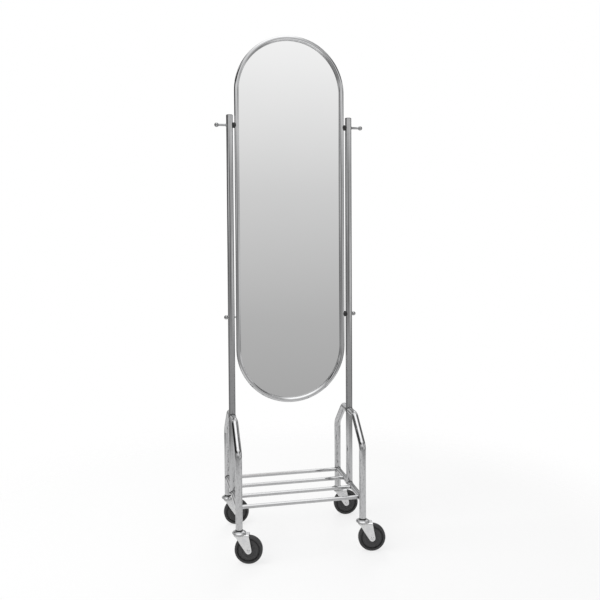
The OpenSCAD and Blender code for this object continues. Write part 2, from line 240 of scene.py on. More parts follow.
def pipe(path, origin, e1, e2, r_out, r_in, sides=48, closed=False, edge=0.4, squeeze=0.0):
    """A round tube carried along a flat path in the plane of e1 and e2: at angle a its wall
    is at path + r (cos a e3 + sin a m), with m across the path in its plane and e3 off the
    plane. In a bend the tube is flattened a little across it, in full where the bend is as
    tight as the arch's top ones. A closed path gives the outer wall only."""
    at, heading, run = path
    e1, e2 = np.array(e1, float), np.array(e2, float)
    e3 = np.cross(e1, e2)
    if closed:
        at, heading, run = at[:-1], heading[:-1], run[:-1]
    centre = np.asarray(origin, float) + at[:, :1] * e1 + at[:, 1:] * e2
    along = np.cos(heading)[:, None] * e1 + np.sin(heading)[:, None] * e2
    across = -np.sin(heading)[:, None] * e1 + np.cos(heading)[:, None] * e2
    bend = np.abs(np.gradient(heading, run))
    flat = 1 - squeeze * np.minimum(1, bend * TOP_BEND)
    radius = np.full(len(at), r_out)
    if not closed:
        centre = np.vstack([centre[:1], centre[:1] + edge * along[:1], centre[1:-1],
                            centre[-1:] - edge * along[-1:], centre[-1:]])
        across, run, flat, radius = (
            np.concatenate([v[:1], v, v[-1:]]) for v in (across, run, flat, radius)
        )
        radius[[0, -1]] -= edge
    a = round_turn(sides)

    def skin(r):
        ring = r[:, None, None] * (
            np.cos(a)[None, :, None] * e3
            + (np.sin(a)[None, :, None] * flat[:, None, None]) * across[:, None, :]
        )
        return centre[:, None, :] + ring, swept(r, run, a)

    outer, outer_stock = skin(radius)
    if closed:
        return [Shell(outer, [net(len(outer), sides, True, True)], outer_stock).outward()]
    inner, inner_stock = skin(np.full(len(radius), r_in))
    points = np.vstack([outer, inner[::-1]])
    stock = np.vstack([outer_stock, inner_stock[::-1]])
    return [Shell(points, [net(len(points), sides, True, True)], stock).outward()]


def coped(origin, e1, e2, r_out, r_in, low, high, sides=64, rows=8):
    """A straight tube along e3 = e1 x e2 whose ends are shaped to other tubes: the wall at
    section point (x, y) runs from low(x, y) to high(x, y). Without a bore it is a rod."""
    a = round_turn(sides)
    t = np.linspace(0, 1, rows)[:, None]
    walls = []
    for r, way in ((r_out, 1), (r_in, -1)):
        if r:
            x, y = r * np.cos(a), r * np.sin(a)
            z = low(x, y) * (1 - t) + high(x, y) * t
            walls.append(np.stack([x + 0 * z, y + 0 * z, z], -1)[::way])
    points = np.vstack(walls)
    faces = [net(len(points), sides, bool(r_in), True)]
    if not r_in:
        faces += lids(len(points), sides)
    return Shell(points, faces).placed(origin, e1, e2, np.cross(e1, e2)).outward()


def bead(origin, e1, e2, r, end, width, ripples, turn):
    """A weld bead round a tube's shaped end. Its middle line is the joint, and its round
    section swells by an eighth from ripple to ripple and about as much round the tube."""
    sides, section = 144, 10
    a, b = round_turn(sides), round_turn(section)
    x, y = r * np.cos(a), r * np.sin(a)
    w = width * (1 + 0.13 * np.cos(ripples * a + turn) + 0.14 * np.sin(2 * a + 1.3 * turn)
                 + 0.07 * np.cos(5 * a + turn))
    reach = w[:, None] * np.cos(b)
    points = np.stack(
        [x[:, None] + reach * np.cos(a)[:, None], y[:, None] + reach * np.sin(a)[:, None],
         end(x, y)[:, None] + w[:, None] * np.sin(b)], -1
    )
    stock = np.stack([np.outer(a * r, np.ones(section)), w[:, None] * np.sin(b), 0 * reach], -1)
    return Shell(points, [net(sides, section, True, True)], stock).placed(
        origin, e1, e2, np.cross(e1, e2)).outward()


def pill_ring(r, steps):
    """Outline of a pill, as x and z from its middle: two straight sides and two half rounds."""
    outline, _, _ = trace((r, -STRAIGHT), 90, [(2 * STRAIGHT, 0, 2), (r, 180, steps)] * 2)
    return outline[:-1]


def pill_plate(profile, steps, ring=False):
    """A pill-shaped plate from front to back: each (r, y) of the profile is an outline of
    radius r at depth y, and the first and last are filled flat. A ring's profile closes."""
    rings = np.stack(
        [np.insert(pill_ring(r, steps), 1, y, axis=1) + [0, 0, MIRROR_Z] for r, y in profile]
    )
    rows, columns = rings.shape[:2]
    ends = [] if ring else lids(rows, columns)
    return Shell(rings, [net(rows, columns, ring, True), *ends]).outward()


def make_piece(name, shells, finish, stands_for=(), body="stand", crease=35):
    """Puts shells into one mesh in metres, smooth except at edges sharper than crease."""
    loops, totals, start = [], [], 0
    for shell in shells:
        for faces in shell.faces:
            loops.append((faces + start).ravel())
            totals.append(np.full(len(faces), faces.shape[1]))
        start += len(shell.points)
    points = np.vstack([shell.points for shell in shells]) * METRES
    grain = np.vstack([shell.grain for shell in shells])
    loops, totals = np.hstack(loops), np.hstack(totals)
    mesh = bpy.data.meshes.new(name)
    mesh.vertices.add(len(points))
    mesh.vertices.foreach_set("co", points.astype(np.float32).ravel())
    mesh.loops.add(len(loops))
    mesh.loops.foreach_set("vertex_index", loops.astype(np.int32))
    mesh.polygons.add(len(totals))
    mesh.polygons.foreach_set("loop_start", np.append(0, np.cumsum(totals)[:-1]).astype(np.int32))
    mesh.update(calc_edges=True)
    stock = mesh.attributes.new("grain", "FLOAT_VECTOR", "POINT")
    stock.data.foreach_set("vector", grain.astype(np.float32).ravel())
    mesh.shade_smooth()
    mesh.set_sharp_from_angle(angle=radians(crease))
    mesh.materials.append(finish)
    piece = bpy.data.objects.new(name, mesh)
    bpy.context.scene.collection.objects.link(piece)
    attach(piece, body)
    if stands_for:
        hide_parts(*stands_for)
    return piece


# ---- Finishes ----------------------------------------------------------------------------


class Value:
    """A number from a node. Arithmetic on it adds Math nodes to the finish."""

    def __init__(self, finish, socket):
        self.finish, self.socket = finish, socket

    def maths(self, operation, *others):
        """A Math node on this number and the others."""
        inputs = dict(enumerate((self, *others)))
        return self.finish.add("ShaderNodeMath", {"operation": operation}, inputs)

    def __add__(self, other):
        return self.maths("ADD", other)

    def __sub__(self, other):
        return self.maths("SUBTRACT", other)

    def __rsub__(self, other):
        return self.finish.add("ShaderNodeMath", {"operation": "SUBTRACT"}, {0: other, 1: self})

    def __mul__(self, other):
        return self.maths("MULTIPLY", other)

    def __truediv__(self, other):
        return self.maths("DIVIDE", other)

    __radd__, __rmul__ = __add__, __mul__

    def rise(self, low, high):
        """0 below low, 1 above high and smooth between."""
        return self.finish.add(
            "ShaderNodeMapRange", {"interpolation_type": "SMOOTHSTEP"},
            {"Value": self, "From Min": low, "From Max": high, "To Min": 0.0, "To Max": 1.0},
        )


class Finish:
    """A material under construction, with one method that adds any node. Given the world's
    node tree, it adds its nodes there instead."""

    def __init__(self, name, tree=None, **uniform):
        if tree:
            self.tree = tree
            return
        self.material = bpy.data.materials.new(name)
        self.material.use_nodes = True
        self.tree = self.material.node_tree
        self.tree.nodes.clear()
        self.output = self.tree.nodes.new("ShaderNodeOutputMaterial")
        self.shader = self.tree.nodes.new("ShaderNodeBsdfPrincipled")
        self.tree.links.new(self.shader.outputs[0], self.output.inputs[0])
        for socket, value in uniform.items():
            self.shader.inputs[socket.replace("_", " ")].default_value = value

    def feed(self, socket, value):
        """Links a node's value to the socket, or sets a number or a colour on it."""
        if isinstance(value, Value):
            self.tree.links.new(value.socket, socket)
        else:
            size = len(socket.default_value) if hasattr(socket.default_value, "__len__") else 0
            socket.default_value = (*value, 1.0)[:size] if size else value

    def add(self, kind, settings=None, inputs=None, output=0):
        """Adds a node and gives one of its outputs. The setting "stops" fills a colour ramp
        from pairs of place and brightness."""
        node = self.tree.nodes.new(kind)
        for key, value in (settings or {}).items():
            if key == "stops":
                ramp = node.color_ramp
                ramp.elements[0].position, ramp.elements[1].position = value[0][0], value[-1][0]
                for place, _ in value[1:-1]:
                    ramp.elements.new(place)
                for element, (_, level) in zip(ramp.elements, value):
                    element.color = (level, level, level, 1.0)
            else:
                setattr(node, key, value)
        for key, value in (inputs or {}).items():
            self.feed(node.inputs[key], value)
        return Value(self, node.outputs[output])

    def stock(self, scale=(1, 1, 1)):
        """The piece's own grain, in millimetres, scaled."""
        grain = self.add("ShaderNodeAttribute", {"attribute_name": "grain"}, output="Vector")
        return self.add("ShaderNodeMapping", None, {"Vector": grain, "Scale": scale})

    def space(self, scale=(1, 1, 1)):
        """Object coordinates, in metres, scaled."""
        place = self.add("ShaderNodeTexCoord", output="Object")
        return self.add("ShaderNodeMapping", None, {"Vector": place, "Scale": scale})

    def noise(self, where, scale, detail=2.0, rough=0.5):
        """Cloudy noise, around a half."""
        return self.add("ShaderNodeTexNoise", None,
                        {"Vector": where, "Scale": scale, "Detail": detail, "Roughness": rough}, "Fac")

    def colour(self, share, first, second):
        """A colour that goes from the first to the second as share goes from 0 to 1."""
        return self.add("ShaderNodeMix", {"data_type": "RGBA"}, {0: share, 6: first, 7: second}, 2)

    def relief(self, height, strength):
        """A bump whose height is in millimetres."""
        return self.add("ShaderNodeBump", None,
                        {"Height": height, "Distance": METRES, "Strength": strength})

    def parts(self, vector):
        """The x, y and z of a vector."""
        node = self.add("ShaderNodeSeparateXYZ", None, {0: vector}).socket.node
        return [Value(self, output) for output in node.outputs]

    def rays(self, *kinds):
        """1 for these kinds of ray and 0 for the others."""
        total = sum(self.add("ShaderNodeLightPath", output=kind) for kind in kinds)
        return total.maths("MINIMUM", 1.0)

    def glow(self, colour):
        """A shader that gives off this colour."""
        return self.add("ShaderNodeEmission", None, {0: colour})

    def blend(self, share, first, second):
        """A shader that goes from the first to the second as share goes from 0 to 1."""
        return self.add("ShaderNodeMixShader", None, {0: share, 1: first, 2: second})

    def shown(self, shader):
        """The material, showing this shader."""
        self.feed(self.output.inputs[0], shader)
        return self.material

    def done(self, **sockets):
        """The material, with these sockets of its main shader fed."""
        for socket, value in sockets.items():
            self.feed(self.shader.inputs[socket.replace("_", " ")], value)
        return self.material


def chrome(name, tone=0.58, gloss=0.018, lines=0.6, handled=0.035, marks=0.3):
    """Bright plating over drawn tube: faint lines along the tube, a very slight orange peel,
    clouds of duller plating where it is handled, and darker blotches, which are partly dry
    water marks and partly painted reflections of the tubes nearby."""
    look = Finish(name, Metallic=1.0)
    drawn = look.noise(look.stock((1.0, 1.0, 0.01)), 1.1, 3.0, 0.6)
    peel = look.noise(look.stock((1.0, 1.0, 0.35)), 0.16, 2.0)
    cloud = look.noise(look.stock((1.0, 1.0, 0.5)), 0.03, 3.0, 0.6)
    dull = cloud.rise(0.45, 0.75)
    bright = (tone, tone * 1.005, tone * 1.015)
    colour = look.colour(dull, bright, (tone * 0.93, tone * 0.935, tone * 0.945))
    colour = look.colour(drawn.rise(0.35, 0.7) * 0.5, colour, (tone * 0.9, tone * 0.9, tone * 0.91))
    # Darker blotches, as strong as marks says: dry water marks and painted reflections of other tubes.
    marks_and_reflections = look.noise(look.stock((1.0, 1.0, 0.5)), 0.24, 4.0, 0.65)
    colour = look.colour(marks_and_reflections.rise(0.5, 0.66) * marks, colour, (tone * 0.62, tone * 0.62, tone * 0.63))
    relief = look.relief(drawn * 0.012 * lines + peel * 0.04, 0.3)
    return look.done(Base_Color=colour, Roughness=gloss + handled * dull + 0.01 * drawn, Normal=relief)


def weld_metal():
    """Plated weld, coloured dark all over to paint the shade in the creases where tubes meet, darker still
    in patches, with fine pits.
    """
    look = Finish("plated_weld_painted_shade", Metallic=1.0)
    pits = look.noise(look.stock(), 1.4, 4.0, 0.65)
    darker_patches = look.noise(look.stock(), 0.35, 3.0, 0.6).rise(0.35, 0.7)
    # Painted shade: both dark colours stand for the shade in the crease of each joint.
    colour = look.colour(darker_patches, (0.2, 0.2, 0.205), (0.06, 0.06, 0.062))
    return look.done(Base_Color=colour, Roughness=0.22 + 0.25 * darker_patches, Normal=look.relief(pits * 0.15, 0.8))


def zinc_sheet():
    """Satin zinc on pressed sheet: a fine grain, and soft pale and darker clouds."""
    look = Finish("zinc_sheet", Metallic=1.0)
    fine = look.noise(look.stock((1.0, 1.0, 0.05)), 1.5, 4.0, 0.6)
    bloom = look.noise(look.stock(), 0.09, 3.0, 0.6)
    colour = look.colour(bloom.rise(0.35, 0.7), (0.86, 0.86, 0.855), (0.76, 0.765, 0.775))
    colour = look.colour(fine.rise(0.5, 0.8) * 0.5, colour, (0.64, 0.64, 0.65))
    return look.done(Base_Color=colour, Roughness=0.26 + 0.14 * fine, Normal=look.relief(fine * 0.05, 0.5))


def turned_steel(name, tone, gloss):
    """Turned metal: a fine grit and slow clouds."""
    look = Finish(name, Metallic=1.0)
    where = look.add("ShaderNodeTexCoord", output="Object")
    grit = look.noise(where, 2500.0, 3.0, 0.6)
    cloud = look.noise(where, 160.0, 2.0)
    dark = (tone * 0.8, tone * 0.8, tone * 0.81)
    colour = look.colour(cloud.rise(0.3, 0.75), (tone, tone, tone * 1.01), dark)
    return look.done(Base_Color=colour, Roughness=gloss + 0.12 * grit, Normal=look.relief(grit * 0.02, 0.4))


def silvered_glass():
    """Front of the mirror: silver behind clear glass, all but free of waves, with slightly
    cooler patches and a faint haze of wiping marks."""
    look = Finish("silvered_glass", Metallic=1.0)
    patch = look.noise(look.space(), 3.0)
    smear = look.noise(look.space((6.0, 1.0, 1.4)), 2.2, 4.0, 0.6)
    colour = look.colour(patch.rise(0.3, 0.7), (0.928, 0.928, 0.928), (0.918, 0.92, 0.92))
    return look.done(Base_Color=colour, Roughness=0.004 + 0.012 * smear.rise(0.5, 0.8))


def hardboard():
    """Pressed fibre board: a fine mat of fibres with darker specks and soft clouds."""
    look = Finish("hardboard", Metallic=0.0, Specular_IOR_Level=0.25)
    fibre = look.noise(look.space((1.0, 1.0, 0.35)), 900.0, 5.0, 0.7)
    cross = look.noise(look.space((0.35, 1.0, 1.0)), 1100.0, 5.0, 0.7)
    cloud = look.noise(look.space(), 14.0, 3.0, 0.6)
    mat = fibre * 0.5 + cross * 0.5
    colour = look.colour(cloud.rise(0.3, 0.7), (0.225, 0.132, 0.071), (0.2, 0.115, 0.061))
    colour = look.colour(mat.rise(0.5, 0.68) * 0.7, colour, (0.36, 0.235, 0.14))
    colour = look.colour(mat.rise(0.48, 0.34) * 0.6, colour, (0.06, 0.035, 0.02))
    return look.done(Base_Color=colour, Roughness=0.62 + 0.2 * mat, Normal=look.relief(mat * 0.25, 0.7))


def moulded(name, tone, gloss, grain=0.12, scale=2.2, dust=0.4):
    """Moulded plastic or rubber: a fine skin grain, a paler bloom of dust and slow clouds."""
    look = Finish(name, Metallic=0.0, Specular_IOR_Level=0.4)
    skin = look.noise(look.stock(), scale, 4.0, 0.6)
    cloud = look.noise(look.stock(), 0.12, 3.0, 0.6)
    dark = (tone * 0.82, tone * 0.82, tone * 0.84)
    colour = look.colour(cloud.rise(0.3, 0.75), (tone, tone, tone * 1.02), dark)
    colour = look.colour(skin.rise(0.55, 0.8) * dust, colour, (tone * 1.6, tone * 1.6, tone * 1.62))
    relief = look.relief(skin * grain, 0.6)
    return look.done(Base_Color=colour, Roughness=gloss + 0.16 * skin, Normal=relief)


TUBE = chrome("chrome_tube")
# Strong blotches on the bent tubes: partly water marks, partly painted reflections of the other tubes.
ARCH = chrome("chrome_bent_tube", tone=0.61, gloss=0.02, handled=0.04, marks=0.7)
BAR = chrome("chrome_rod", gloss=0.025, lines=0.8)
LOOP = chrome("chrome_frame", tone=0.65, marks=0.15)
# The pegs' and knobs' tone is below the tubes': painted shade for the darker look they have in this light.
TURNED = chrome("chrome_turned_painted_shade", tone=0.42, gloss=0.03, lines=0.3)
# The caps' tone is far below chrome's: painted shade for the dark seam line where cap meets tube.
CAPS = chrome("chrome_cap_painted_shade", tone=0.15, gloss=0.16, lines=0.4)
RACE = chrome("chrome_race", tone=0.6, gloss=0.17, lines=0.4, handled=0.08)
WELD = weld_metal()
ZINC = zinc_sheet()
STEEL = turned_steel("bright_steel", 0.82, 0.22)
BEARING = turned_steel("bearing_steel", 0.5, 0.12)
PASSIVATED = turned_steel("passivated_steel", 0.52, 0.28)
SILVER = silvered_glass()
BOARD = hardboard()
SADDLE = moulded("saddle_rubber", 0.022, 0.42, dust=0.3)
PLASTIC = moulded("black_plastic", 0.02, 0.3, grain=0.05)
WHEEL = moulded("wheel_plastic", 0.045, 0.36, grain=0.1)
TYRE = moulded("tyre_rubber", 0.044, 0.5, grain=0.2, scale=1.6)
BEAD = moulded("bead_rubber", 0.05, 0.4)


# ---- Side frames ---------------------------------------------------------------------------


def beside(radius):
    """How far a level bar of that radius reaches from its axis, at distance x aside of it."""
    return lambda x: np.sqrt(np.maximum(radius**2 - x * x, 0.0))


over_arch = beside(TUBE_R + WELD_GAP)
over_leg = beside(TUBE_R)
over_rail = beside(RAIL_R)

# Ends of the tubes, as a height or a reach over their section point (x, y). A rail's section
# has its x up and its y along X, so that the rail runs along Y.


def post_top(x, y):
    return POST_TOP + 0 * x


def post_foot(x, y):
    return ARCH_TOP + over_arch(x)


def strut_top(x, y):
    return ARCH_TOP - over_arch(x)


def strut_foot(x, y):
    return RAIL_Z + over_rail(x)


def rail_rear(x, y):
    return LEG_Y - over_leg(y)


def rail_front(x, y):
    return -rail_rear(x, y)


def rod_ends(rod_y, meets_legs):
    """Both ends of a shelf rod, cut to the rails, and to the legs where those come first. The
    section's x is up and its y is to the front, so that the rod runs along X."""

    def right(x, y):
        leg = over_leg(rod_y - y - LEG_Y) if meets_legs else 0
        return POST_X - np.maximum(over_rail(x), leg)

    return lambda x, y: -right(x, y), right


def arch_path():
    """Middle line of an arch as y and z, from its front foot over to the rear one. A straight
    run is what the set-backs of its bends leave of it."""
    slope_reach = LEG_Y - ARCH_FLAT / 2
    shoulder_turn = 90 - ARCH_SLOPE
    shoulder_back = SHOULDER_BEND * tan(radians(shoulder_turn / 2))
    top_back = TOP_BEND * tan(radians(ARCH_SLOPE / 2))
    leg = ARCH_TOP - slope_reach * tan(radians(ARCH_SLOPE)) - LEG_FOOT - shoulder_back
    slope = slope_reach / cos(radians(ARCH_SLOPE)) - shoulder_back - top_back
    flat = ARCH_FLAT - 2 * top_back
    up = [(leg, 0, 8), (SHOULDER_BEND, -shoulder_turn, 20), (slope, 0, 4), (TOP_BEND, -ARCH_SLOPE, 20)]
    return trace((-LEG_Y, LEG_FOOT), 90, up + [(flat, 0, 4)] + up[::-1])


def cap_disc():
    """Plug of a post: a flat head with a round edge, over a spigot that fills the bore."""
    head = [(0, 2.5), (8.4, 2.5), (9.6, 2.3), (10.5, 1.85), (11.05, 1.2), (TUBE_R, 0.5),
            (11.1, 0.15), (10.6, 0.02)]
    spigot = [(BORE_R, 0), (BORE_R, -13.4), (BORE_R - 0.6, -14), (0, -14)]
    return turned(lifted(head + spigot, POST_TOP)).outward()


def side_frame(name, side):
    """Post, strut, arch, rail, their welds and the cap of one side."""
    foot = (side * POST_X, 0, 0)
    rail = (side * POST_X, 0, RAIL_Z)
    make_piece(name + "_post_tube", [coped(foot, X, Y, TUBE_R, BORE_R, post_foot, post_top, rows=24)],
               TUBE, [name + "_post"])
    make_piece(name + "_strut_tube", [coped(foot, X, Y, TUBE_R, BORE_R, strut_foot, strut_top)],
               TUBE, [name + "_strut"])
    make_piece(name + "_arch_tube", pipe(arch_path(), foot, Y, Z, TUBE_R, BORE_R, squeeze=0.03),
               ARCH, [name + "_arch"])
    make_piece(name + "_rail_tube", [coped(rail, Z, X, RAIL_R, RAIL_R - TUBE_WALL, rail_front, rail_rear)],
               BAR, [name + "_rail"])
    welds = [
        bead(foot, X, Y, TUBE_R, post_foot, 1.7, 24, side),
        bead(foot, X, Y, TUBE_R, strut_top, 1.7, 24, 1 + side),
        bead(foot, X, Y, TUBE_R, strut_foot, 1.5, 20, 2 + side),
        bead(rail, Z, X, RAIL_R, rail_rear, 1.5, 18, 3 + side),
        bead(rail, Z, X, RAIL_R, rail_front, 1.5, 18, 4 + side),
    ]
    make_piece(name + "_welds", welds, WELD)
    make_piece(name + "_cap_disc", [cap_disc().placed(foot)], CAPS, [name + "_post_cap"])


for side_name, side_sign in SIDES.items():
    side_frame(side_name, side_sign)

rod_beads = []
for rod_name, rod_place in RODS.items():
    centre = (0, rod_place, RAIL_Z)
    left_end, right_end = rod_ends(rod_place, rod_name == "rear")
    make_piece("rod_" + rod_name, [coped(centre, Z, FORWARD, ROD_R, 0, left_end, right_end, 40)],
               BAR, ["shelf_rod_" + rod_name])
    rod_beads.append(bead(centre, Z, FORWARD, ROD_R, left_end, 1.2, 14, LEFT + rod_place))
    rod_beads.append(bead(centre, Z, FORWARD, ROD_R, right_end, 1.2, 14, RIGHT + rod_place))
make_piece("rod_welds", rod_beads, WELD)


# ---- Mirror --------------------------------------------------------------------------------

loop_path = trace((LOOP_AXIS, -STRAIGHT), 90, [(2 * STRAIGHT, 0, 16), (LOOP_AXIS, 180, 96)] * 2)
make_piece("frame_loop", pipe(loop_path, (0, 0, MIRROR_Z), X, Z, LOOP_R, 0, closed=True), LOOP,
           ["mirror_frame"])

# Outlines of a plate as (radius, depth), from its front to its back.
pane = [(PANE_R - 0.6, PANE_FRONT), (PANE_R - 0.2, PANE_FRONT + 0.15), (PANE_R, PANE_FRONT + 0.6),
        (PANE_R, BOARD_FRONT - 0.4), (PANE_R - 0.4, BOARD_FRONT)]
make_piece("mirror_pane", [pill_plate(pane, 96)], SILVER, ["mirror_glass"], crease=6)

# The rubber bead's go round its section, and are counted from the pane's front edge.
lip = [(-0.3, -0.3), (0.1, -0.45), (0.6, -0.1), (1.4, 1.0), (2.8, 2.6), (5.2, 3.9), (0.1, 3.9), (0.05, 0.4)]
glass_bead = [(PANE_R + r, PANE_FRONT + depth) for r, depth in lip]
make_piece("glass_bead", [pill_plate(glass_bead, 96, True)], BEAD,
           ["glass_gasket"], crease=50)

board = [(BOARD_R - 0.6, BOARD_FRONT), (BOARD_R, BOARD_FRONT + 0.5), (BOARD_R, BOARD_BACK - 0.8),
         (BOARD_R - 0.25, BOARD_BACK - 0.25), (BOARD_R - 0.9, BOARD_BACK)]
make_piece("back_board", [pill_plate(board, 48)], BOARD, ["backing_board"], crease=20)


def pan_screw():
    """A pan head: height h (1 - (r / R)^6) above its seat, but not less than its rim, with a
    sunk cross that narrows towards its foot and its tips, on a plain shank."""
    head_h, dome_r, rim_h = 2.0, 3.3, 0.25
    cross_depth, half_slot, slot_slope, arm, arm_slope = 1.3, 0.42, 0.16, 1.95, 0.35
    sides = 48
    a = round_turn(sides)
    r = np.array([0.25, 0.6, 0.95, 1.3, 1.65, 2.0, 2.3, 2.6, 2.85, 3.05, 3.17, SCREW_HEAD_R])[:, None]
    across = r * np.abs(np.sin(2 * a)) / 2
    cross = np.clip((half_slot - across) / slot_slope, 0, 1) * np.clip((arm - r) / arm_slope, 0, 1)
    z = np.maximum(head_h * (1 - (r / dome_r) ** 6) - cross_depth * cross, rim_h)
    head = np.stack([r * np.cos(a), r * np.sin(a), z], -1)
    shank_r, shank_z = np.array([(SCREW_HEAD_R, 0), (1.5, 0), (1.5, -7.6), (0.8, -8)]).T
    rings = np.vstack([head, swept(shank_r, shank_z, a)])
    return Shell(rings, [net(len(rings), sides, False, True), *lids(len(rings), sides)])


def board_screws():
    """Five screws up each side and one at each end, each turned a little further."""
    heights = [MIRROR_Z + STRAIGHT * (step / 2 - 1) for step in range(5)]
    seats = [(side * LOOP_AXIS, height) for side in (LEFT, RIGHT) for height in heights]
    seats += [(0, MIRROR_Z + end * (STRAIGHT + LOOP_AXIS)) for end in (-1, 1)]
    screws = []
    for number, (x, z) in enumerate(seats):
        turn = 0.7 * number
        along, across = (cos(turn), 0, sin(turn)), (sin(turn), 0, -cos(turn))
        screws.append(pan_screw().placed((x, BOARD_BACK, z), along, across, Y).outward())
    return screws


make_piece("pan_screws", board_screws(), PASSIVATED, ["board_screws"], crease=40)


def saddle_block(side, z):
    """A rubber spacer with round edges. Along X its wall runs from the frame's tube to the
    post's; its ends are shaped to both tubes and its middle has a shallow waist."""
    sides = 72
    a = round_turn(sides)

    def on_loop(r):
        y = r * np.cos(a)
        surface = LOOP_AXIS + np.sqrt(np.maximum(LOOP_R**2 - y * y, 0))
        return np.maximum(LOOP_AXIS + LOOP_R - SADDLE_LAP, surface)

    def on_post(r):
        surface = POST_X - over_leg(r * np.cos(a))
        return np.minimum(POST_X - TUBE_R + SADDLE_LAP, surface)

    face_radii = (SADDLE_HOLE, 5.0, 7.0, 8.4)
    waist = ((0, 9.0), (0.08, 9.4), (0.2, SADDLE_R), (0.38, 9.2),
             (0.62, 9.2), (0.8, SADDLE_R), (0.92, 9.4), (1, 9.0))
    first, last = on_loop(SADDLE_R), on_post(SADDLE_R)
    rows = [(r, on_loop(r)) for r in face_radii]
    rows += [(r, first * (1 - share) + last * share) for share, r in waist]
    rows += [(r, on_post(r)) for r in face_radii[::-1]]
    points = np.stack([np.stack([x * side, r * np.cos(a), z + r * np.sin(a)], -1) for r, x in rows])
    return Shell(points, [net(len(rows), sides, True, True)]).outward()


# The lower left bolt crosses its gap without a block.
for block, block_side, block_z in (
    ("upper_left", LEFT, PEG_Z), ("upper_right", RIGHT, PEG_Z), ("lower_right", RIGHT, KNOB_Z)
):
    make_piece(block + "_saddle", [saddle_block(block_side, block_z)], SADDLE,
               [block + "_spacer"], crease=50)


def ball_end(centre, ball_r, neck_r):
    """Profile (r, h) of a turned ball on a neck: the sphere's half circle, which runs into
    the neck where both have the same radius."""
    meet = asin(neck_r / ball_r)
    t = np.linspace(pi - meet, 0, 28)
    return np.stack([ball_r * np.sin(t), centre + ball_r * np.cos(t)], 1)


def bolt_with_ball(neck, reach, ball_r, neck_r):
    """Profile (r, h) of a fixing, with h from the mirror's middle: the bolt with its blunt
    tip, the collar and neck, whose heights are counted from the post's axis, and the ball."""
    tip = [(0, BOLT_TIP), (BOLT_R - 0.4, BOLT_TIP), (BOLT_R, BOLT_TIP + 0.4)]
    return np.vstack([tip, lifted(neck, POST_X), ball_end(POST_X + reach, ball_r, neck_r)])


peg_neck = [(BOLT_R, 9.9), (5.3, 9.9), (5.3, 12.1), (4.9, 12.6), (4.25, 12.8), (4.0, 13.4),
            (4.0, 33.5), (4.1, 35.0)]
knob_neck = [(BOLT_R, 8.8), (5.6, 8.8), (5.6, 11.4), (5.2, 11.9)]
FIXINGS = (
    ("_peg_turned", bolt_with_ball(peg_neck, PEG_REACH, PEG_BALL_R, 4.3), PEG_Z, "_coat_peg"),
    ("_knob_turned", bolt_with_ball(knob_neck, KNOB_REACH, KNOB_R, 5.0), KNOB_Z, "_ball_knob"),
)
for side_name, side_sign in SIDES.items():
    for ending, profile, fixing_z, node in FIXINGS:
        fixing = turned(profile, 48).placed((0, 0, fixing_z), Z, (0, -side_sign, 0), (side_sign, 0, 0))
        make_piece(side_name + ending, [fixing.outward()], TURNED, [side_name + node], crease=40)


# ---- Casters -------------------------------------------------------------------------------


def fork_edge():
    """Free outline of a cheek as s, along the trail from the leg's axis, and z: down the
    sloping front, round the axle and up the rear. Gives one point for each line of the cheek."""
    front = [(-16.3, 93.5), (-12, 90), (-7, 84.5), (-3, 78.5), (2.5, 68.5), (21.34, 40.0)]
    t = np.linspace(radians(210), radians(352), 26)
    round_end = np.stack([TRAIL + 9.9 * np.cos(t), AXLE_Z + 9.9 * np.sin(t)], 1)
    rear = [(39.7, 47.0), (35, 73.5), (31.6, 90.5)]
    edge = np.vstack([front, round_end, rear])
    span = np.append(0, np.cumsum(np.hypot(*np.diff(edge, axis=0).T)))
    even = np.linspace(0, span[-1], 110)
    return np.interp(even, span, edge[:, 0]), np.interp(even, span, edge[:, 1])


def fork_sheet():
    """The fork's middle surface, folded from flat sheet. Lines run from each side edge of
    the web (s from -16.3 to 31.6) to the cheek's free outline. A point that lies a certain
    run from the edge, in the flat sheet, is on the fold's quarter round while the run is
    less than the quarter's, and straight down after it. Points crowd towards the fold."""
    fold_r = 3.75
    fold_run = fold_r * pi / 2
    grain_top = 94.0
    half_web = FORK_HALF_W - FORK_SHEET / 2 - fold_r
    s_edge, z_edge = fork_edge()
    drop = FORK_WEB_Z - z_edge
    on_fold = fold_r * np.arccos(np.clip(1 - drop / fold_r, -1, 1))
    whole_run = np.where(drop < fold_r, on_fold, fold_run - fold_r + drop)[:, None]
    s_top = np.linspace(s_edge[0], s_edge[-1], len(s_edge))[:, None]
    share = np.linspace(0, 1, 26) ** 2
    s = s_top + (s_edge[:, None] - s_top) * share
    run = whole_run * share
    bend = np.minimum(run, fold_run) / fold_r
    y = half_web + fold_r * np.sin(bend)
    z = FORK_WEB_Z - fold_r * (1 - np.cos(bend)) - np.maximum(run - fold_run, 0)
    cheek = np.stack([s, y, z], -1)
    stock = np.stack([s, run, grain_top - run], -1)
    web_y = np.linspace(-half_web, half_web, 9)[1:-1]
    web = np.stack(np.broadcast_arrays(s_top, web_y, FORK_WEB_Z), -1)
    points = np.concatenate([(cheek * [1, -1, 1])[:, ::-1], web, cheek], 1)
    grain = np.concatenate([stock[:, ::-1], web, stock], 1)
    return Shell(points, [net(*points.shape[:2])], grain)


